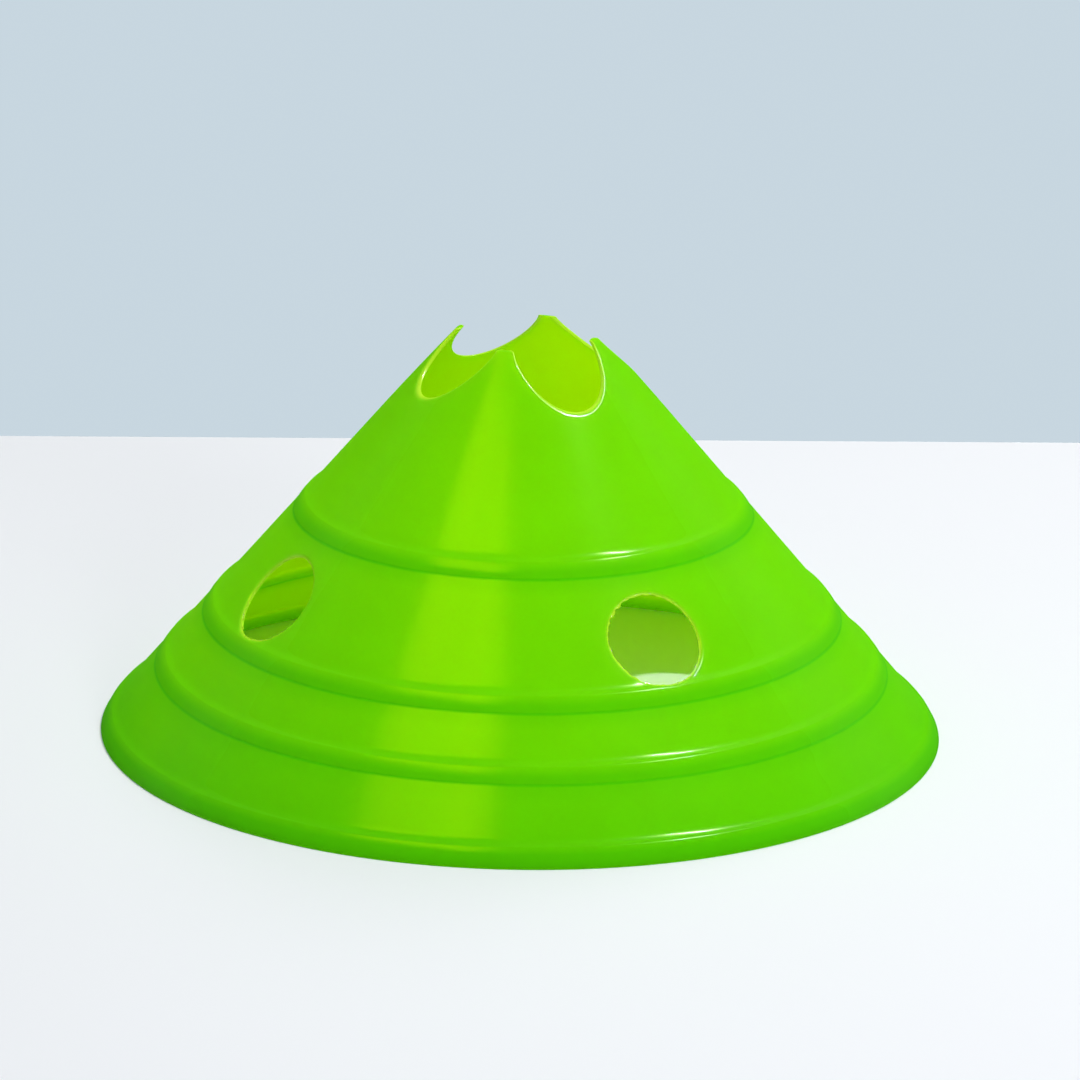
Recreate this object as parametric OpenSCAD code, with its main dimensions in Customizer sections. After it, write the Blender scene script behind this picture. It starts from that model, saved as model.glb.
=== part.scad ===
// Sports marker cone: one moulded shell with a four-pronged crown, three
// ledges round its wall, a turned-down rim and four round pole holes.
// +Z is up, the rim stands on z = 0 and the Z axis is the cone's own axis.
// The pole holes and the crown's notches face -Y, +X, +Y and -X.

/* [Cone] */
// Diameter of the rim on the floor
base_d = 300; // [270:1:340]
// Height of the crown's tips above the floor
cone_h = 146.6; // [140:0.2:170]
// Outside diameter of the crown across its tips
crown_d = 52.6; // [48:0.2:60]
// Thickness of the moulded wall
wall_t = 1.6; // [1.2:0.1:2.4]
// How far inside the rim the top section's slope would land on the floor
toe_in = 0.7; // [0:0.1:2]

/* [Ledges] */
// Height of the top ledge's edge
top_ledge_z = 86.5; // [80:0.5:92]
// Height of the middle ledge's edge
mid_ledge_z = 48.7; // [44:0.1:52]
// Height of the low ledge's edge
low_ledge_z = 28.9; // [26:0.1:32]
// How far a ledge's edge stands out from the wall above it
ledge_out = 1.2; // [0.6:0.1:2]
// Height over which the wall swells out to a ledge's edge
swell_h = 5; // [3:0.5:7]
// Height of the steep band under a ledge's edge
band_h = 5.4; // [4:0.1:7]
// How far a steep band bulges past a straight slope
band_bulge = 0.35; // [0:0.05:0.6]
// Outward step of the wall at each ledge
section_step = 0.35; // [0:0.05:0.8]

/* [Rim] */
// Height of the rim's band above the floor
rim_h = 6.8; // [5:0.1:9]
// How far the rim's band bulges past a straight slope
rim_bulge = 0.6; // [0:0.05:0.9]

/* [Pole holes] */
// Diameter of a pole hole, square to the wall
hole_d = 34.4; // [28:0.1:36]
// Height of a pole hole's centre on the outside of the wall
hole_z = 62; // [60:0.2:68]

/* [Crown] */
// Width of a crown notch, which a pole lies across
notch_d = 31.6; // [26:0.2:34]
// Depth of a notch below the crown's tips
notch_depth = 18.5; // [17:0.5:24]

/* [Hidden] */
$fn = 180;
// Pole holes and notches round the cone, which face the four sides
SIDES = 4;
// Rings that round off each curved stretch of the outline
CURVE_STEPS = 5;
// Overrun of every cut past the wall
cut_over = 6;

base_r = base_d / 2;
crown_r = crown_d / 2;
// Fall of the wall for each millimetre outwards
wall_fall = cone_h / (base_r - toe_in - crown_r);
// Angle of the wall above the floor
wall_angle = atan(wall_fall);
// Width of the wall along a level line
wall_run = wall_t / sin(wall_angle);

// Radius of the outside of a section of wall at a height, where section 0 is
// the top one and each ledge below steps the wall out once
function wall_r(section, z) = crown_r + (cone_h - z) / wall_fall + section * section_step;

// Outline where the wall swells out to an edge: the swell grows with the
// square of the way down
function swell(section, edge_z) = [
    for (i = [0 : CURVE_STEPS])
        let (down = i / CURVE_STEPS, z = edge_z + swell_h * (1 - down))
        [wall_r(section, z) + ledge_out * pow(down, 2), z]
];

// Outline of a steep band from its edge to its foot: a straight slope with a
// parabola on it, which is highest halfway down
function band(edge, foot, bulge) = [
    for (i = [1 : CURVE_STEPS])
        let (down = i / CURVE_STEPS, out = 4 * bulge * down * (1 - down))
        [edge[0] + (foot[0] - edge[0]) * down + out, edge[1] + (foot[1] - edge[1]) * down]
];

// Outline of one ledge, from the wall above it to the wall below it
function ledge(section, edge_z) = concat(
    swell(section, edge_z),
    band(
        [wall_r(section, edge_z) + ledge_out, edge_z],
        [wall_r(section + 1, edge_z - band_h), edge_z - band_h],
        band_bulge
    )
);

// Outline of the outside, from the crown's tip down to the floor
outside = concat(
    [[crown_r, cone_h]],
    ledge(0, top_ledge_z),
    ledge(1, mid_ledge_z),
    ledge(2, low_ledge_z),
    swell(3, rim_h),
    band([wall_r(3, rim_h) + ledge_out, rim_h], [base_r, 0], rim_bulge)
);

// Outline of the inside, which follows the outside a wall's width further in
inside = [for (i = [len(outside) - 1 : -1 : 0]) outside[i] - [wall_run, 0]];

// Body of revolution between the two outlines
module shell_wall() {
    rotate_extrude()
        polygon(concat(outside, inside));
}

// Round cut square to the wall, centred on its outside
module pole_hole() {
    translate([0, -wall_r(1, hole_z), hole_z])
        rotate([wall_angle, 0, 0])
            cylinder(d = hole_d, h = 2 * (wall_t + cut_over), center = true);
}

// Level cut through one side of the crown, with a round bottom
module crown_notch() {
    bottom_z = cone_h - notch_depth;
    translate([0, 0, bottom_z + notch_d / 2])
        rotate([90, 0, 0])
            cylinder(d = notch_d, h = wall_r(0, bottom_z) + cut_over);
}

module cone_shell() {
    color([0.42, 0.84, 0.02])
        difference() {
            shell_wall();
            for (side = [0 : SIDES - 1]) {
                rotate([0, 0, side * 360 / SIDES]) {
                    pole_hole();
                    crown_notch();
                }
            }
        }
}

cone_shell();
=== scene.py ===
"""Dressed model of a low lime-green sports marker cone: one moulded shell with its floor, lamps and camera."""

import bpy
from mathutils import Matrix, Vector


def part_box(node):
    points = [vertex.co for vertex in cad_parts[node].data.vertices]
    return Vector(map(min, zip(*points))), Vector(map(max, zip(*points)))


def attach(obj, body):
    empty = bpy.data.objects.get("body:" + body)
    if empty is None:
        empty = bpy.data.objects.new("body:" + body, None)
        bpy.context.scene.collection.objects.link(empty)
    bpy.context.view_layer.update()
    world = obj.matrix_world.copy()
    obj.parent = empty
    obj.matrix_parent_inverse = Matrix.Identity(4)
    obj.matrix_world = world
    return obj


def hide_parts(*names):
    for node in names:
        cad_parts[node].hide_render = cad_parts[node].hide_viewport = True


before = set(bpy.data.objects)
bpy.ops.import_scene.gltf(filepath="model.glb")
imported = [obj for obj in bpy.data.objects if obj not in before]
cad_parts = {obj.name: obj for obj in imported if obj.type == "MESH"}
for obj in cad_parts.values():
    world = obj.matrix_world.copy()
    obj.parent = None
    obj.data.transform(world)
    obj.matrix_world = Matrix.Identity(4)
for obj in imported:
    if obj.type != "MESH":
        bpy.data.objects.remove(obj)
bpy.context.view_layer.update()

import math

import bmesh
import bpy
import numpy as np
from bpy.props import FloatProperty, FloatVectorProperty, IntProperty, PointerProperty
from mathutils import Matrix, Vector

bl_info = {
    "name": "Sports marker cone",
    "version": (1, 0, 0),
    "blender": (4, 5, 0),
    "location": "3D View > Sidebar > Marker cone",
    "description": "Makes the lime-green moulded shell of a low marker cone, its floor, lamps and camera",
    "category": "Add Mesh",
}

MM = 0.001
SIDES = 4
# Millimetres over which the foot of the rim and the inner edge of a pole hole are rounded.
FOOT_ROUND = 0.55
INNER_HOLE_ROUND = 0.2
# Shares of the wall's thickness that the outer and the inner rounding of a cut edge take up.
HOLE_SHARES = (0.78, 0.12)
CROWN_SHARES = (0.6, 0.25)
RIM_SHARES = (0.3, 0.3)
# Points round half a pole hole, up a notch's side, across a rounding, round a flash and across the flash.
HOLE_POINTS = 31
NOTCH_POINTS = 33
ROUNDING_POINTS = 7
FLASH_POINTS = 385
FLASH_SECTION_POINTS = 11
# Samples over which the outline's corners are softened.
SOFTENING_SAMPLES = 25
# Halvings, and millimetres to either side, in the search for a hole's edge on a skin.
HALVINGS = 40
SEARCH_REACH = 26.0
# Most millimetres between two rings, height of the lowest one, and how near a coarse ring may come to a fine
# one.
RING_STEP = 3.4
LOWEST_RING = 1.2
RING_CLEARANCE = 1.4
# Seeds of the flash's reach, thickness and lift, and the share of the wall that lies outside it.
REACH_SEED, THICKNESS_SEED, LIFT_SEED = 11, 31, 51
FLASH_DEPTH = 0.55
SHELL_LOW, SHELL_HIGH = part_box("cone_shell")

# --------------------------------------------------------------------------------------------------
# Sizes and colours
# --------------------------------------------------------------------------------------------------


def length(name, description, millimetres):
    """A length property, given in millimetres and kept in metres."""
    return FloatProperty(
        name=name, description=description, default=millimetres * MM, min=0.0, unit="LENGTH", precision=5
    )


def colour(name, description, red, green, blue):
    """A colour property, given as three linear shares of light."""
    return FloatVectorProperty(
        name=name,
        description=description,
        default=(red, green, blue),
        size=3,
        min=0.0,
        max=1.0,
        subtype="COLOR",
    )


class MarkerConeSizes(bpy.types.PropertyGroup):
    """Sizes of the moulded shell."""

    rim_diameter: length("Rim diameter", "Width of the rim on the floor", 2 * SHELL_HIGH[0] / MM)
    height: length("Height", "Height of the crown's tips above the floor", SHELL_HIGH[2] / MM)
    crown_diameter: length("Crown diameter", "Width across the crown's tips, before they lean in", 52.6)
    tips_in: length("Tips in", "How far the crown's tips lean in from the straight wall", 0.9)
    wall: length("Wall", "Thickness of the moulded wall", 1.6)
    toe_in: length("Toe-in", "How far inside the rim the top slope would land on the floor", 0.7)
    top_ledge: length("Top ledge", "Height of the top ledge's edge", 86.5)
    mid_ledge: length("Middle ledge", "Height of the middle ledge's edge", 48.7)
    low_ledge: length("Low ledge", "Height of the low ledge's edge", 28.9)
    ledge_out: length("Ledge out", "How far a ledge's edge stands out from the wall above it", 1.2)
    top_ledge_out: length("Top ledge out", "The same for the top ledge", 0.85)
    swell: length("Swell", "Height over which the wall swells out to an edge", 2.2)
    band: length("Band", "Height of the steep band under a ledge's edge", 5.4)
    band_bulge: length("Band bulge", "How far a band bulges past a straight slope", 0.35)
    section_step: length("Section step", "Outward step of the wall at each ledge", 0.35)
    rim_band: length("Rim band", "Height of the rim's band", 6.8)
    rim_bulge: length("Rim bulge", "How far the rim's band bulges", 0.6)
    hole_radius: length("Hole radius", "Radius of a pole hole, square to the wall", 17.2)
    hole_height: length("Hole height", "Height of a pole hole's centre on the outside", 62)
    hole_round: length("Hole rounding", "Width of the rounding round a pole hole", 1.35)
    notch_radius: length("Notch radius", "Radius of a crown notch", 15.8)
    notch_depth: length("Notch depth", "Depth of a notch below the tips", 18.5)
    notch_round: length("Notch rounding", "Width of the rounding round a notch", 1.2)
    edge_round: length("Edge rounding", "Rounding of the tips' flat tops and of inner edges", 0.45)
    tip_round: length("Tip rounding", "Rounding of the corners of the crown's tips", 0.55)
    tip_pinch: length("Tip pinch", "How far a notch closes in towards the crown's tips", 0.4)
    corner_blur: length("Corner softness", "Height over which the mould's corners are softened", 0.27)
    columns: IntProperty(
        name="Columns", description="Cells of the mesh in an eighth of a turn", default=31, min=8, max=60
    )


class MarkerConeColours(bpy.types.PropertyGroup):
    """Colours of the plastic, of its painted shade and painted glow, and of the floor."""

    plastic: colour("Plastic", "Colour of the lime plastic in reflected light", 0.225, 0.96, 0.001)
    # Painted shade: the darker colour laid on the steep bands, the folds at their feet and the wall towards
    # the rim.
    deep: colour("Deep plastic", "Colour of the lime plastic in the steep bands and folds", 0.10, 0.78, 0.001)
    through: colour("Light through", "Colour of light that comes through the wall", 0.77, 0.97, 0.001)
    # Light through the wall under the painted shade.
    deep_through: colour("Deep light through", "The same in the bands and folds", 0.42, 0.81, 0.001)
    # Painted glow: a lighter colour painted on the cut edges and the flash, standing in for light that leaves
    # them.
    glow: colour("Edge glow", "Colour of the shining cut edges", 0.62, 1.0, 0.03)
    clear: FloatProperty(
        name="Clearness",
        description="Share of the light that each skin lets through",
        default=0.68,
        min=0.0,
        max=1.0,
    )
    floor: colour("Floor", "Colour of the floor", 0.855, 0.868, 0.895)


# --------------------------------------------------------------------------------------------------
# Outline of the moulded wall, in millimetres
# --------------------------------------------------------------------------------------------------


class Mould:
    """The cone's sizes in millimetres, and the curves that follow from them."""

    def __init__(self, sizes):
        for name in MarkerConeSizes.__annotations__:
            value = getattr(sizes, name)
            setattr(self, name, value / MM if isinstance(value, float) else value)
        self.rim_radius = self.rim_diameter / 2
        self.crown_radius = self.crown_diameter / 2
        self.fall = self.height / (self.rim_radius - self.toe_in - self.crown_radius)
        self.slope = math.atan(self.fall)
        self.level_wall = self.wall / math.sin(self.slope)
        self.hole_reach = float(self.straight(1, self.hole_height))
        self.notch_height = self.height - self.notch_depth + self.notch_radius

    def straight(self, section, z):
        """Radius of a section's straight wall: the crown's radius, plus the way down over the fall, plus a
        small step for each ledge above."""
        return self.crown_radius + (self.height - z) / self.fall + section * self.section_step

    def lean(self, z):
        """How far the crown leans in: the tips' share times the square of the way up past the notches."""
        up = np.clip(1 - (self.height - z) / (1.6 * self.notch_depth), 0, None)
        return self.tips_in * up**2

    def reach(self, section):
        """How far a ledge's edge stands out, where section 0 is the top one."""
        return self.top_ledge_out if section == 0 else self.ledge_out

    def swelling(self, section, edge, z):
        """Straight wall plus the ledge's reach times the cube of the way down to its edge."""
        down = (edge + self.swell - z) / self.swell
        return self.straight(section, z) + self.reach(section) * down**3

    def steep(self, top, foot, bulge, z):
        """Line from a top point to a foot point, plus a parabola that is highest halfway down."""
        down = (top[1] - z) / (top[1] - foot[1])
        return top[0] + (foot[0] - top[0]) * down + 4 * bulge * down * (1 - down)

    def outline(self, z):
        """Sharp outer radius at each height: straight wall, swell and steep band by turns, from the top."""
        cases = []
        values = []
        for section, edge in enumerate((self.top_ledge, self.mid_ledge, self.low_ledge)):
            foot = edge - self.band
            top = (self.straight(section, edge) + self.reach(section), edge)
            cases += [z >= edge + self.swell, z >= edge, z >= foot]
            values += [
                self.straight(section, z),
                self.swelling(section, edge, z),
                self.steep(top, (self.straight(section + 1, foot), foot), self.band_bulge, z),
            ]
        edge = self.rim_band
        top = (self.straight(3, edge) + self.ledge_out, edge)
        cases += [z >= edge + self.swell, z >= edge]
        values += [self.straight(3, z), self.swelling(3, edge, z)]
        sharp = np.select(cases, values, self.steep(top, (self.rim_radius, 0), self.rim_bulge, z))
        return sharp - self.lean(z)

    def outer(self, z):
        """Outer radius with soft corners: the outline averaged over a short height under a cosine bell."""
        shift = np.linspace(-1, 1, SOFTENING_SAMPLES)
        weight = 1 + np.cos(np.pi * shift)
        spread = self.outline(np.asarray(z)[..., None] + shift * self.corner_blur)
        return (spread * weight).sum(-1) / weight.sum()

    def depth(self, z):
        """How much painted shade a height gets, from 0 on the plain wall to 1 in a fold: it grows over the
        first two thirds of each steep band, where it is partly the deeper colour of the band's thicker plastic
        and partly painted shade, peaks in a narrow bell of painted crease shade at the band's foot and dies
        away just below it.
        On the rim it grows over the upper half of the band as painted shade, and lightens at the foot, a
        painted light from the floor. A small painted shade is added everywhere, which grows towards the rim.
        The amounts were set to look like the photo."""
        deep = np.zeros_like(z)
        # Painted shade that grows towards the rim.
        everywhere = np.interp(z, [0, 21, 25, 45, self.top_ledge], [0.32, 0.26, 0.10, 0.05, 0])
        for edge in (self.top_ledge, self.mid_ledge, self.low_ledge):
            foot = edge - self.band
            # On each band: painted shade, partly the deeper colour of thicker plastic, then painted crease
            # shade at the foot.
            down = np.clip((edge - z) / (0.66 * self.band), 0, 1)
            on_band = np.where(z > foot, 0.6 * down**2 * (3 - 2 * down), 0)
            below = np.where(z <= foot, 0.5 * np.exp((z - foot) / 0.9), 0)
            # Painted crease shade in the fold at the band's foot.
            fold = 0.85 * np.exp(-(((z - foot) / 0.36) ** 2))
            deep = np.maximum(deep, on_band + below + fold)
        # On the rim: painted shade over the band, lightened at the foot by a painted light from the floor.
        down = np.clip((self.rim_band - z) / (0.55 * self.rim_band), 0, 1)
        lift = np.clip((0.35 * self.rim_band - z) / (0.35 * self.rim_band), 0, 1)
        deep = np.maximum(deep, 0.95 * down**2 * (3 - 2 * down) - 0.35 * lift)
        return everywhere + (1 - everywhere) * deep

    def glow(self, place):
        """How much painted glow a point gets, a painted light that stands in for the light leaving a cut edge,
        from 1
        at the edge: a narrow bell of the distance, plus a faint halo that falls as e to the power of minus the
        distance. The distance is measured from the pole holes' bars and the notches' bars."""
        nearest = np.full(len(place), 99.0)
        for side in range(SIDES):
            turn = side * 2 * math.pi / SIDES
            x = place[:, 0] * math.cos(turn) + place[:, 1] * math.sin(turn)
            y = place[:, 1] * math.cos(turn) - place[:, 0] * math.sin(turn)
            z = place[:, 2]
            out = y + self.hole_reach
            climb = (z - self.hole_height) * math.sin(self.slope) + out * math.cos(self.slope)
            hole = np.hypot(x, climb) - self.hole_radius
            notch = np.hypot(x, z - self.notch_height) - self.notch_radius
            gap = np.where(z > self.top_ledge, notch, hole)
            nearest = np.where(y < 0, np.minimum(nearest, np.maximum(gap, 0)), nearest)
        return 0.75 * np.exp(-((nearest / 0.55) ** 2)) + 0.25 * np.exp(-nearest / 1.6)

    def inner(self, z):
        """Inner radius: the outer one less the wall's level thickness."""
        return self.outer(z) - self.level_wall

    def hole_circle(self, skin, radius, angle):
        """Where a skin meets a round bar of a given radius along a pole hole's axis, at angles from the top of
        the bar. The height is found by halving; the turn is the arcsine of the sideways reach over the skin's
        radius. Gives turns and heights."""
        side = radius * np.sin(angle)
        low = np.full(angle.shape, self.hole_height - SEARCH_REACH)
        high = low + 2 * SEARCH_REACH
        for _ in range(HALVINGS):
            z = (low + high) / 2
            out = np.sqrt(skin(z) ** 2 - side**2) - self.hole_reach
            climb = (z - self.hole_height) * math.sin(self.slope) - out * math.cos(self.slope)
            above = climb > radius * np.cos(angle)
            high = np.where(above, z, high)
            low = np.where(above, low, z)
        z = (low + high) / 2
        return np.arcsin(side / skin(z)), z

    def crown_side(self, skin, grow, top, way):
        """Edge of a notch from its lowest point, way 0, to the prong's top, way 1: a circle round the notch's
        axis, whose radius loses most of its growth and a small pinch on the way up, and which turns off into a
        rounded corner just under the top. Gives turns and heights."""
        radius = self.notch_radius + grow * (1 - 0.7 * way**2) - self.tip_pinch * way**4
        last = math.acos(-(top - self.notch_height) / radius[-1])
        angle = last * np.sin(way * np.pi / 2)
        z = self.notch_height - radius * np.cos(angle)
        z[-1] = top
        near = np.clip(1 - (top - z) / (self.tip_round * math.sin(self.slope)), 0, 1)
        side = radius * np.sin(angle) + self.tip_round * (1 - np.sqrt(1 - near**2))
        return np.arcsin(side / skin(z)), z


def turned(radius, turn, z):
    """Points at a radius, a turn from -Y towards +X and a height."""
    radius, turn, z = np.broadcast_arrays(radius, turn, z)
    return np.stack([radius * np.sin(turn), -radius * np.cos(turn), z], -1)


def ring_heights(mould, top):
    """Heights of a skin's rings: close together at the ledges' edges and feet, and at most 3.4 mm apart."""
    near = np.array(
        [-0.75, -0.5, -0.32, -0.18, -0.06, 0.06, 0.18, 0.32, 0.5, 0.75, 1.2, 1.8, 2.6, 3.5, 4.4, 5.2]
    )
    edges = np.array([mould.top_ledge, mould.mid_ledge, mould.low_ledge, mould.rim_band])
    feet = edges[:3] - mould.band
    fine = np.concatenate([(edges[:, None] + near).ravel(), (feet[:, None] + near[:13]).ravel()])
    coarse = np.arange(LOWEST_RING, top, RING_STEP)
    away = np.abs(coarse[:, None] - fine).min(1) > RING_CLEARANCE
    return np.sort(np.concatenate([fine, coarse[away]]))


# --------------------------------------------------------------------------------------------------
# Patches of mesh
# --------------------------------------------------------------------------------------------------


class Patches:
    """Grids of points that are gathered and welded into one closed mesh."""

    def __init__(self):
        self.points = []
        self.quads = []
        self.count = 0

    def add(self, grid):
        """Takes a grid of points, rows by columns by three, and the cells between its neighbours."""
        rows, columns = grid.shape[:2]
        index = self.count + np.arange(rows * columns).reshape(rows, columns)
        corners = [index[:-1, :-1], index[:-1, 1:], index[1:, 1:], index[1:, :-1]]
        self.points.append(grid.reshape(-1, 3))
        self.quads.append(np.stack(corners, -1).reshape(-1, 4))
        self.count += rows * columns

    def object(self, name, material, shades=None):
        """Object made of all patches, in metres, with its seams closed and its faces pointing outwards. Each
        shade, a map of painted shade or painted glow, is a function from points in millimetres to a number
        that is kept on the mesh under its name."""
        points = np.concatenate(self.points) * MM
        quads = np.concatenate(self.quads)
        mesh = bpy.data.meshes.new(name)
        mesh.vertices.add(len(points))
        mesh.vertices.foreach_set("co", points.astype(np.float32).ravel())
        mesh.loops.add(quads.size)
        mesh.loops.foreach_set("vertex_index", quads.astype(np.int32).ravel())
        mesh.polygons.add(len(quads))
        mesh.polygons.foreach_set("loop_start", np.arange(0, quads.size, 4, dtype=np.int32))
        mesh.update(calc_edges=True)
        work = bmesh.new()
        work.from_mesh(mesh)
        bmesh.ops.remove_doubles(work, verts=work.verts, dist=2e-6)
        bmesh.ops.dissolve_degenerate(work, edges=work.edges, dist=1e-7)
        bmesh.ops.recalc_face_normals(work, faces=work.faces)
        loose = sum(1 for edge in work.edges if not edge.is_manifold)
        work.to_mesh(mesh)
        work.free()
        if loose:
            raise RuntimeError(f"{name} has {loose} open edges")
        place = np.empty(len(mesh.vertices) * 3, np.float32)
        mesh.vertices.foreach_get("co", place)
        for label, shade in (shades or {}).items():
            values = shade(place.reshape(-1, 3).astype(float) / MM)
            mesh.attributes.new(label, "FLOAT", "POINT").data.foreach_set("value", values.astype(np.float32))
        mesh.shade_smooth()
        mesh.materials.append(material)
        made = bpy.data.objects.new(name, mesh)
        bpy.context.scene.collection.objects.link(made)
        return made


def all_round(half):
    """Four quarter turns of a half sector and of its mirror image, as one list of grids."""
    grids = []
    for side in range(SIDES):
        turn = side * 2 * math.pi / SIDES
        for hand in (1, -1):
            x, y, z = half[..., 0] * hand, half[..., 1], half[..., 2]
            across = x * math.cos(turn) - y * math.sin(turn)
            along = x * math.sin(turn) + y * math.cos(turn)
            grids.append(np.stack([across, along, z], -1))
    return grids


def cut_edge(outer_skin, outer_corner, inner_corner, inner_skin, shares):
    """Strip across a cut edge, from the outer skin to the inner one. Each end is a quarter of an ellipse: the
    corner, plus (1 - sine) of the way back along the skin, plus (1 - cosine) of the way along the cut."""
    angle = np.linspace(0, np.pi / 2, ROUNDING_POINTS)[:, None]
    across = inner_corner - outer_corner
    ends = []
    for skin, corner, along in (
        (outer_skin, outer_corner, across * shares[0]),
        (inner_skin, inner_corner, -across * shares[1]),
    ):
        corner = corner[:, None, :]
        ends.append(
            corner
            + (skin[:, None, :] - corner) * (1 - np.sin(angle))
            + along[:, None, :] * (1 - np.cos(angle))
        )
    return np.concatenate([ends[0], ends[1][:, ::-1]], 1)


def shell_patches(mould):
    """All grids of the moulded shell: both skins, and the strips round the openings and the rim."""
    patches = Patches()
    share = np.linspace(0, 1, mould.columns + 1)
    hole_angle = np.linspace(0, np.pi, HOLE_POINTS)
    side_way = np.linspace(0, 1, NOTCH_POINTS)
    eighth = math.pi / SIDES
    back = mould.edge_round
    top = mould.height

    def ring_turns(edge_turn):
        """Turns of a ring's columns: evenly spread from the opening's edge to the middle of the prong."""
        return edge_turn[:, None] + (eighth - edge_turn[:, None]) * share

    def skin_grid(skin, hole_grow, notch_grow, top_z, low_z):
        """A skin from the rim to the crown, whose rings bend round the hole and the notch."""
        hole_turn, hole_z = mould.hole_circle(skin, mould.hole_radius + hole_grow, hole_angle[::-1])
        side_turn, side_z = mould.crown_side(skin, notch_grow, top_z, side_way)
        plain = ring_heights(mould, side_z[0])
        plain = plain[plain > low_z + 0.3]
        under = plain[plain < hole_z[0] - 0.05]
        between = plain[(plain > hole_z[-1] + 0.3) & (plain < side_z[0] - 0.3)]
        z = np.concatenate([[low_z], under, hole_z, between, side_z])
        edge = np.concatenate([np.zeros(1 + len(under)), hole_turn, np.zeros(len(between)), side_turn])
        edge[np.abs(edge) < 1e-9] = 0
        return turned(skin(z)[:, None], ring_turns(edge), z[:, None])

    def hole_line(skin, grow):
        """The line on a skin round half of a pole hole."""
        turn, z = mould.hole_circle(skin, mould.hole_radius + grow, hole_angle)
        return turned(skin(z), turn, z)

    def crown_line(skin, grow, top_z):
        """The line on a skin up the side of a notch and over half of a prong's top."""
        side_turn, side_z = mould.crown_side(skin, grow, top_z, side_way)
        top_turn = side_turn[-1] + (eighth - side_turn[-1]) * share[1:]
        turn = np.concatenate([side_turn, top_turn])
        z = np.concatenate([side_z, np.full(len(top_turn), top_z)])
        return turned(skin(z), turn, z)

    def rim_line(skin, z):
        """The line on a skin along an eighth of the rim at a height."""
        return turned(skin(np.array(z)), eighth * share, z)

    outer, inner = mould.outer, mould.inner
    under_top = top - back * math.sin(mould.slope)
    halves = [
        skin_grid(outer, mould.hole_round, mould.notch_round, under_top, FOOT_ROUND),
        skin_grid(inner, INNER_HOLE_ROUND, back, under_top, FOOT_ROUND),
        cut_edge(
            hole_line(outer, mould.hole_round),
            hole_line(outer, 0),
            hole_line(inner, 0),
            hole_line(inner, INNER_HOLE_ROUND),
            HOLE_SHARES,
        ),
        cut_edge(
            crown_line(outer, mould.notch_round, under_top),
            crown_line(outer, 0, top),
            crown_line(inner, 0, top),
            crown_line(inner, back, under_top),
            CROWN_SHARES,
        ),
        cut_edge(
            rim_line(outer, FOOT_ROUND),
            rim_line(outer, 0.0),
            rim_line(inner, 0.0),
            rim_line(inner, FOOT_ROUND),
            RIM_SHARES,
        ),
    ]
    for half in halves:
        for grid in all_round(half):
            patches.add(grid)
    return patches


def ragged(angle, seed):
    """An uneven line round a circle, roughly between 0 and 1: a sum of waves of 3 to 70 turns, whose height
    falls with the square root of their number and swells in a bell round 26 turns, which makes beads."""
    chance = np.random.default_rng(seed)
    wave = np.arange(3, 71)
    phase = chance.uniform(0, 2 * np.pi, len(wave))
    beads = 1 + 1.6 * np.exp(-(((wave - 26) / 7) ** 2))
    height = chance.uniform(0.4, 1.0, len(wave)) / np.sqrt(wave) * beads
    line = (np.cos(angle[..., None] * wave + phase) * height).sum(-1)
    return np.clip(0.5 + line / 2.2, 0.02, 1.3)


def flash_patches(mould):
    """Thin ragged flash along the cut of each pole hole: an ellipse carried round the hole a little way inside
    the wall, whose reach into the opening follows an uneven line and is largest on one side."""
    patches = Patches()
    angle = np.linspace(0, 2 * np.pi, FLASH_POINTS)
    round_it = np.linspace(0, 2 * np.pi, FLASH_SECTION_POINTS)

    def skin(z):
        """The skin that the flash follows, partly through the wall."""
        return mould.outer(z) - FLASH_DEPTH * mould.level_wall

    turn, z = mould.hole_circle(skin, mould.hole_radius, angle)
    edge = turned(skin(z), turn, z)
    outward = np.array([0, -math.sin(mould.slope), math.cos(mould.slope)])
    climb = np.array([0, math.cos(mould.slope), math.sin(mould.slope)])
    centre_way = -(np.sin(angle)[:, None] * np.array([1.0, 0, 0]) + np.cos(angle)[:, None] * climb)
    for side in range(SIDES):
        most = 0.35 + 0.65 * (0.5 + 0.5 * np.cos(angle + 0.8 + 0.5 * side)) ** 1.5
        reach = 0.1 + 0.55 * most * ragged(angle, REACH_SEED + side)
        thick = 0.13 + 0.16 * most * ragged(angle, THICKNESS_SEED + side)
        half = (reach + 0.4) / 2
        lift = 0.1 * ragged(angle, LIFT_SEED + side)
        middle = edge + centre_way * (reach - half)[:, None] + outward * lift[:, None]
        ring = (
            middle[:, None]
            + centre_way[:, None] * (half[:, None] * np.cos(round_it))[..., None]
            + outward * (thick[:, None] * np.sin(round_it))[..., None]
        )
        patches.add(all_round(ring)[2 * side])
    return patches


# --------------------------------------------------------------------------------------------------
# Materials
# --------------------------------------------------------------------------------------------------


class Amount:
    """A number in a material. Reckoning with it adds Math nodes."""

    def __init__(self, sheet, socket):
        self.sheet = sheet
        self.socket = socket

    def reckon(self, operation, *terms):
        """Adds one Math node for an operation on terms."""
        made = self.sheet.node("ShaderNodeMath", {"operation": operation}, dict(enumerate(terms)))
        return made.amount("Value")

    def __add__(self, other):
        return self.reckon("ADD", self, other)

    __radd__ = __add__

    def __mul__(self, other):
        return self.reckon("MULTIPLY", self, other)

    __rmul__ = __mul__

    def __sub__(self, other):
        return self.reckon("SUBTRACT", self, other)

    def __rsub__(self, other):
        return self.reckon("SUBTRACT", other, self)

    def between(self, low, high):
        """Smooth step from 0 at low to 1 at high."""
        made = self.sheet.node(
            "ShaderNodeMapRange",
            {"interpolation_type": "SMOOTHSTEP"},
            {"Value": self, "From Min": low, "From Max": high},
        )
        return made.amount("Result")


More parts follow.
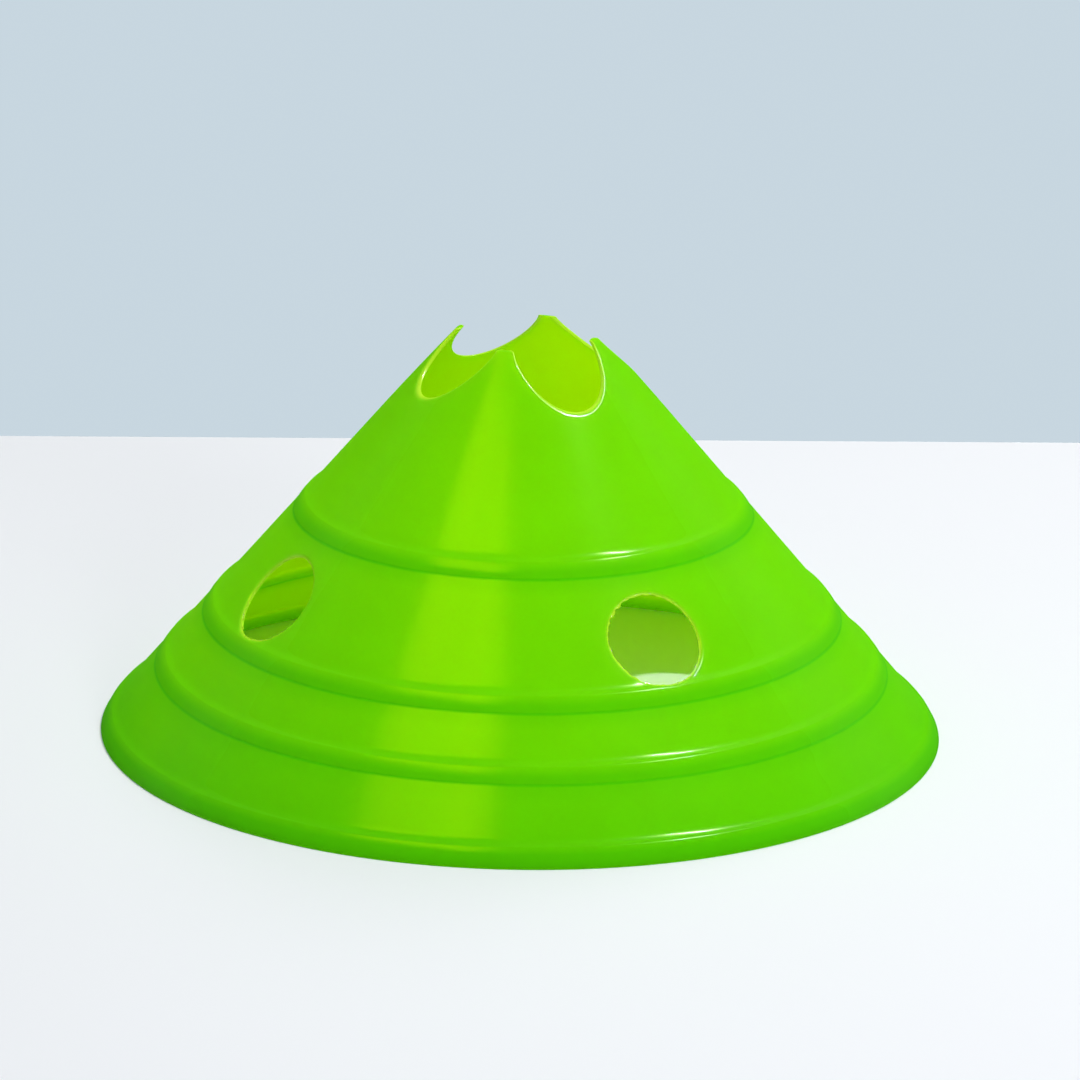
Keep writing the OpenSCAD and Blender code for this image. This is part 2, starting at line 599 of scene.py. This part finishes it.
class Made:
    """A node that has been added to a material."""

    def __init__(self, sheet, node):
        self.sheet = sheet
        self.node = node

    def amount(self, name):
        """One of the node's outputs as a number to reckon with."""
        return Amount(self.sheet, self.node.outputs[name])

    def out(self, name):
        """One of the node's outputs as it is."""
        return self.node.outputs[name]


class Sheet:
    """The node tree of one material or world."""

    def __init__(self, owner):
        owner.use_nodes = True
        self.tree = owner.node_tree
        self.tree.nodes.clear()

    def node(self, kind, settings=None, sockets=None):
        """Adds a node of a kind: its settings first, then the values or links of its sockets."""
        node = self.tree.nodes.new(kind)
        for name, value in (settings or {}).items():
            setattr(node, name, value)
        for name, value in (sockets or {}).items():
            socket = node.inputs[name]
            if isinstance(value, Amount):
                value = value.socket
            if isinstance(value, bpy.types.NodeSocket):
                self.tree.links.new(value, socket)
            else:
                socket.default_value = value
        return Made(self, node)

    def mix(self, share, first, second):
        """A colour between two others."""
        return self.node(
            "ShaderNodeMix",
            {"data_type": "RGBA", "clamp_factor": True},
            {0: share, 6: first, 7: second},
        ).out(2)

    def noise(self, place, scale, detail=2.0, roughness=0.5):
        """Noise at a scale, in waves per metre, as a number between 0 and 1."""
        made = self.node(
            "ShaderNodeTexNoise",
            {"noise_dimensions": "3D"},
            {"Vector": place, "Scale": scale, "Detail": detail, "Roughness": roughness},
        )
        return made.amount("Fac")


def opaque(rgb, factor=1.0):
    """A linear colour with full alpha, made lighter or darker by a factor."""
    return (*(min(1.0, c * factor) for c in rgb), 1.0)


# Waves per metre of the plastic's clouding, grain and orange peel, and the peel's strength and depth in
# metres.
CLOUD_SCALE, GRAIN_SCALE, PEEL_SCALE = 38.0, 900.0, 110.0
PEEL_STRENGTH = 0.35
PEEL_DEPTH = 0.00006
# Colour of the plastic's highlights, which keeps the room's blue out of them as in the photo.
GLOSS_TINT = (0.6, 1.0, 0.03, 1.0)


def lime_plastic(colours):
    """Semi-gloss lime polyethylene that lets light through: a glossy skin and a clear share, both with the
    slight clouding of moulded plastic, and an uneven skin like fine orange peel. The gloss is tinted and
    fades at grazing angles, which keeps the colour as saturated as the photo's."""
    material = bpy.data.materials.new("lime_plastic_moulded")
    sheet = Sheet(material)
    place = sheet.node("ShaderNodeTexCoord").out("Object")
    clouds = sheet.noise(place, CLOUD_SCALE, 3.0, 0.55)
    grain = sheet.noise(place, GRAIN_SCALE, 2.0, 0.6)
    tone = (clouds * 0.6 + grain * 0.4).between(0.3, 0.7)
    # Painted shade kept on the mesh darkens the colour and the light through in the bands, folds and towards
    # the rim.
    deep = sheet.node("ShaderNodeAttribute", {"attribute_name": "deep"}).amount("Fac")
    wall_colour = sheet.mix(tone, opaque(colours.plastic, 0.93), opaque(colours.plastic, 1.04))
    # Painted glow kept on the mesh lightens the cut edges and the flash.
    glow = sheet.node("ShaderNodeAttribute", {"attribute_name": "glow"}).amount("Fac")
    skin_colour = sheet.mix(glow, sheet.mix(deep, wall_colour, opaque(colours.deep)), opaque(colours.glow))
    through = sheet.mix(deep, opaque(colours.through), opaque(colours.deep_through))
    peel = sheet.noise(place, PEEL_SCALE, 2.0, 0.5) * 0.7 + grain * 0.3
    bump = sheet.node(
        "ShaderNodeBump", None, {"Strength": PEEL_STRENGTH, "Distance": PEEL_DEPTH, "Height": peel}
    ).out("Normal")
    grazing = sheet.node("ShaderNodeLayerWeight").amount("Facing").between(0.25, 0.7)
    gloss = sheet.node(
        "ShaderNodeBsdfPrincipled",
        {"distribution": "GGX"},
        {
            "Base Color": skin_colour,
            "Roughness": 0.15 + clouds * 0.06 + grazing * 0.8,
            "IOR": 1.5,
            "Specular IOR Level": 1.0,
            "Specular Tint": GLOSS_TINT,
            "Coat Weight": (0.10 + glow * 0.6) * (1 - grazing),
            "Coat Roughness": 0.07,
            "Normal": bump,
        },
    ).out("BSDF")
    clear = sheet.node("ShaderNodeBsdfTranslucent", None, {"Color": through}).out("BSDF")
    # Less light comes through under the painted shade and the painted glow.
    share = colours.clear - deep * 0.12 - glow * 0.35
    both = sheet.node("ShaderNodeMixShader", None, {"Fac": share, 1: gloss, 2: clear}).out("Shader")
    sheet.node("ShaderNodeOutputMaterial", None, {"Surface": both})
    return material


def floor_paint(colours):
    """Matt pale paint with a very faint unevenness."""
    material = bpy.data.materials.new("pale_floor")
    sheet = Sheet(material)
    place = sheet.node("ShaderNodeTexCoord").out("Object")
    tone = sheet.noise(place, 3.0, 3.0, 0.5)
    paint = sheet.mix(tone, opaque(colours.floor, 0.99), opaque(colours.floor, 1.01))
    body = sheet.node(
        "ShaderNodeBsdfPrincipled", None, {"Base Color": paint, "Roughness": 0.7, "Specular IOR Level": 0.2}
    ).out("BSDF")
    sheet.node("ShaderNodeOutputMaterial", None, {"Surface": body})
    return material


# --------------------------------------------------------------------------------------------------
# Stage
# --------------------------------------------------------------------------------------------------

# Turn of the camera round the cone, from -Y towards -X. Lamps are placed from the camera's own direction.
CAMERA_TURN = -28.2
# The camera's place and what it aims at, in metres, before that turn.
CAMERA_PLACE = (0.0, -2.35718, 0.80185)
CAMERA_AIM = (0.00602, 0.0, 0.0703)
CAMERA_ROLL = 0.9395
CAMERA_LENS = 231.58
# The floor's width, how far behind the cone it ends, and the slant of that edge in degrees.
FLOOR_WIDTH = 18.0
FLOOR_BACK = 0.365
FLOOR_SLANT = 1.87
# Light from all round, and the colour of the wall behind the floor.
ROOM_LIGHT = (0.90, 0.97, 1.0, 1.0)
ROOM_STRENGTH = 0.27
WALL_COLOUR = (0.575, 0.675, 0.745, 1.0)
# Height in metres that the lamps face.
LAMP_AIM = 0.05

# Name, turn from the camera to its right, rise, distance, width, height, power in watts, colour, and whether
# it lights the scene or only shows as a reflection. The reflections are tinted to suit the plastic's tinted
# gloss: yellow for the soft streak at the left, blue for the glints on the ledges, which come out white.
LAMPS = (
    ("key_lamp", 88.0, 63.0, 2.30, 0.10, 0.10, 27.0, (1.0, 0.99, 0.97), "light"),
    ("key_reflector", 88.0, 63.0, 2.20, 0.60, 0.05, 90.0, (0.30, 0.19, 1.0), "reflection"),
    ("top_softbox", 0.0, 85.0, 2.20, 0.90, 0.90, 11.4, (1.0, 1.0, 1.0), "light"),
    ("low_softbox", 24.0, 23.0, 2.40, 0.50, 0.40, 8.5, (1.0, 1.0, 1.0), "light"),
    ("back_softbox", 165.0, 40.0, 2.40, 1.00, 0.80, 10.0, (1.0, 1.0, 1.0), "light"),
    ("long_reflector", -37.0, 57.0, 1.90, 0.98, 0.42, 6.8, (1.0, 0.70, 0.04), "reflection"),
    ("reflector_left_end", -50.0, 56.0, 1.88, 0.10, 0.42, 0.16, (1.0, 0.70, 0.04), "reflection"),
    ("reflector_right_end", -23.0, 59.0, 1.88, 0.08, 0.42, 0.26, (1.0, 0.70, 0.04), "reflection"),
)


def towards(turn, rise):
    """Unit vector from the cone to a place at a turn from the camera and a rise, both in degrees."""
    turn = math.radians(turn + CAMERA_TURN)
    rise = math.radians(rise)
    return Vector((math.sin(turn) * math.cos(rise), -math.cos(turn) * math.cos(rise), math.sin(rise)))


def add_camera():
    """Camera at the photo's angle: it looks at the aim point from its place, then rolls a little."""
    data = bpy.data.cameras.new("camera")
    data.lens = CAMERA_LENS
    data.sensor_width = 36.0
    data.clip_end = 60.0
    turn = Matrix.Rotation(math.radians(CAMERA_TURN), 3, "Z")
    place = turn @ Vector(CAMERA_PLACE)
    back = (place - turn @ Vector(CAMERA_AIM)).normalized()
    level = Vector((0, 0, 1)).cross(back).normalized()
    upright = back.cross(level)
    roll = math.radians(CAMERA_ROLL)
    right = level * math.cos(roll) + upright * math.sin(roll)
    up = upright * math.cos(roll) - level * math.sin(roll)
    pose = Matrix((right, up, back)).transposed().to_4x4()
    pose.translation = place
    camera = bpy.data.objects.new("camera", data)
    camera.matrix_world = pose
    bpy.context.scene.collection.objects.link(camera)
    bpy.context.scene.camera = camera


def add_lamp(name, turn, rise, distance, width, height, power, tint, use):
    """A rectangular lamp that faces the cone, and either lights the scene or only shows as a reflection."""
    data = bpy.data.lights.new(name, "AREA")
    data.shape = "RECTANGLE"
    data.size = width
    data.size_y = height
    data.energy = power
    data.color = tint
    way = towards(turn, rise)
    lamp = bpy.data.objects.new(name, data)
    lamp.matrix_world = Matrix.Translation(way * distance + Vector((0, 0, LAMP_AIM))) @ (
        way.to_track_quat("Z", "Y").to_matrix().to_4x4()
    )
    lamp.visible_camera = False
    lights = use == "light"
    lamp.visible_glossy = not lights
    lamp.visible_diffuse = lights
    lamp.visible_transmission = lights
    bpy.context.scene.collection.objects.link(lamp)


def add_world():
    """Even light from all round, and a pale backdrop that only the camera sees."""
    world = bpy.data.worlds.new("pale_room")
    bpy.context.scene.world = world
    sheet = Sheet(world)
    path = sheet.node("ShaderNodeLightPath")
    seen = path.amount("Is Camera Ray")
    light = sheet.node(
        "ShaderNodeBackground", None, {"Color": ROOM_LIGHT, "Strength": ROOM_STRENGTH}
    )
    backdrop = sheet.node("ShaderNodeBackground", None, {"Color": WALL_COLOUR, "Strength": 1.0})
    both = sheet.node(
        "ShaderNodeMixShader", None, {"Fac": seen, 1: light.out("Background"), 2: backdrop.out("Background")}
    )
    sheet.node("ShaderNodeOutputWorld", None, {"Surface": both.out("Shader")})


# --------------------------------------------------------------------------------------------------
# Operators and panel
# --------------------------------------------------------------------------------------------------


def plastic(scene):
    """The lime plastic, made once."""
    return bpy.data.materials.get("lime_plastic_moulded") or lime_plastic(scene.marker_cone_colours)


class MARKERCONE_OT_shell(bpy.types.Operator):
    """Makes the moulded shell with its ledges, pole holes and crown"""

    bl_idname = "marker_cone.shell"
    bl_label = "Moulded shell"
    bl_options = {"REGISTER", "UNDO"}

    def execute(self, context):
        mould = Mould(context.scene.marker_cone_sizes)
        # The shell carries painted shade by height and painted glow along its cut edges.
        shades = {"deep": lambda place: mould.depth(place[:, 2]), "glow": mould.glow}
        shell = shell_patches(mould).object("cone_shell_moulding", plastic(context.scene), shades)
        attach(shell, "root")
        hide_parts("cone_shell")
        return {"FINISHED"}


class MARKERCONE_OT_flash(bpy.types.Operator):
    """Makes the thin ragged flash inside the four pole holes"""

    bl_idname = "marker_cone.flash"
    bl_label = "Pole hole flash"
    bl_options = {"REGISTER", "UNDO"}

    def execute(self, context):
        mould = Mould(context.scene.marker_cone_sizes)
        # The flash is painted all over with the painted glow, which makes it pale, and has no painted shade.
        shades = {"deep": lambda place: 0 * place[:, 2], "glow": lambda place: 1 + 0 * place[:, 2]}
        flash = flash_patches(mould).object("pole_hole_flash", plastic(context.scene), shades)
        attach(flash, "root")
        return {"FINISHED"}


class MARKERCONE_OT_stage(bpy.types.Operator):
    """Makes the pale floor, the lamps and the camera"""

    bl_idname = "marker_cone.stage"
    bl_label = "Floor, lamps and camera"
    bl_options = {"REGISTER", "UNDO"}

    def execute(self, context):
        side = FLOOR_WIDTH / 2
        slant = side * math.tan(math.radians(FLOOR_SLANT))
        corners = [
            (-side, -side, 0),
            (side, -side, 0),
            (side, FLOOR_BACK + slant, 0),
            (-side, FLOOR_BACK - slant, 0),
        ]
        turn = Matrix.Rotation(math.radians(CAMERA_TURN), 3, "Z")
        mesh = bpy.data.meshes.new("floor")
        mesh.from_pydata([turn @ Vector(corner) for corner in corners], [], [(0, 1, 2, 3)])
        mesh.materials.append(floor_paint(context.scene.marker_cone_colours))
        floor = bpy.data.objects.new("floor", mesh)
        context.scene.collection.objects.link(floor)
        for lamp in LAMPS:
            add_lamp(*lamp)
        add_world()
        add_camera()
        context.scene.view_settings.view_transform = "Standard"
        return {"FINISHED"}


class MARKERCONE_PT_panel(bpy.types.Panel):
    """Lists the cone's pieces and sizes in the sidebar"""

    bl_idname = "MARKERCONE_PT_panel"
    bl_label = "Marker cone"
    bl_space_type = "VIEW_3D"
    bl_region_type = "UI"
    bl_category = "Marker cone"

    def draw(self, context):
        for operator in OPERATORS:
            self.layout.operator(operator.bl_idname)
        for group in (context.scene.marker_cone_sizes, context.scene.marker_cone_colours):
            for name in type(group).__annotations__:
                self.layout.prop(group, name)


OPERATORS = (MARKERCONE_OT_stage, MARKERCONE_OT_shell, MARKERCONE_OT_flash)
CLASSES = (MarkerConeSizes, MarkerConeColours, *OPERATORS, MARKERCONE_PT_panel)


def register():
    """Registers the classes and hangs the sizes and colours on the scene."""
    for cls in CLASSES:
        bpy.utils.register_class(cls)
    bpy.types.Scene.marker_cone_sizes = PointerProperty(type=MarkerConeSizes)
    bpy.types.Scene.marker_cone_colours = PointerProperty(type=MarkerConeColours)


def unregister():
    """Takes the sizes, colours and classes away again."""
    del bpy.types.Scene.marker_cone_colours
    del bpy.types.Scene.marker_cone_sizes
    for cls in reversed(CLASSES):
        bpy.utils.unregister_class(cls)


def main():
    register()
    bpy.ops.marker_cone.stage()
    bpy.ops.marker_cone.shell()
    bpy.ops.marker_cone.flash()


if __name__ == "__main__":
    main()
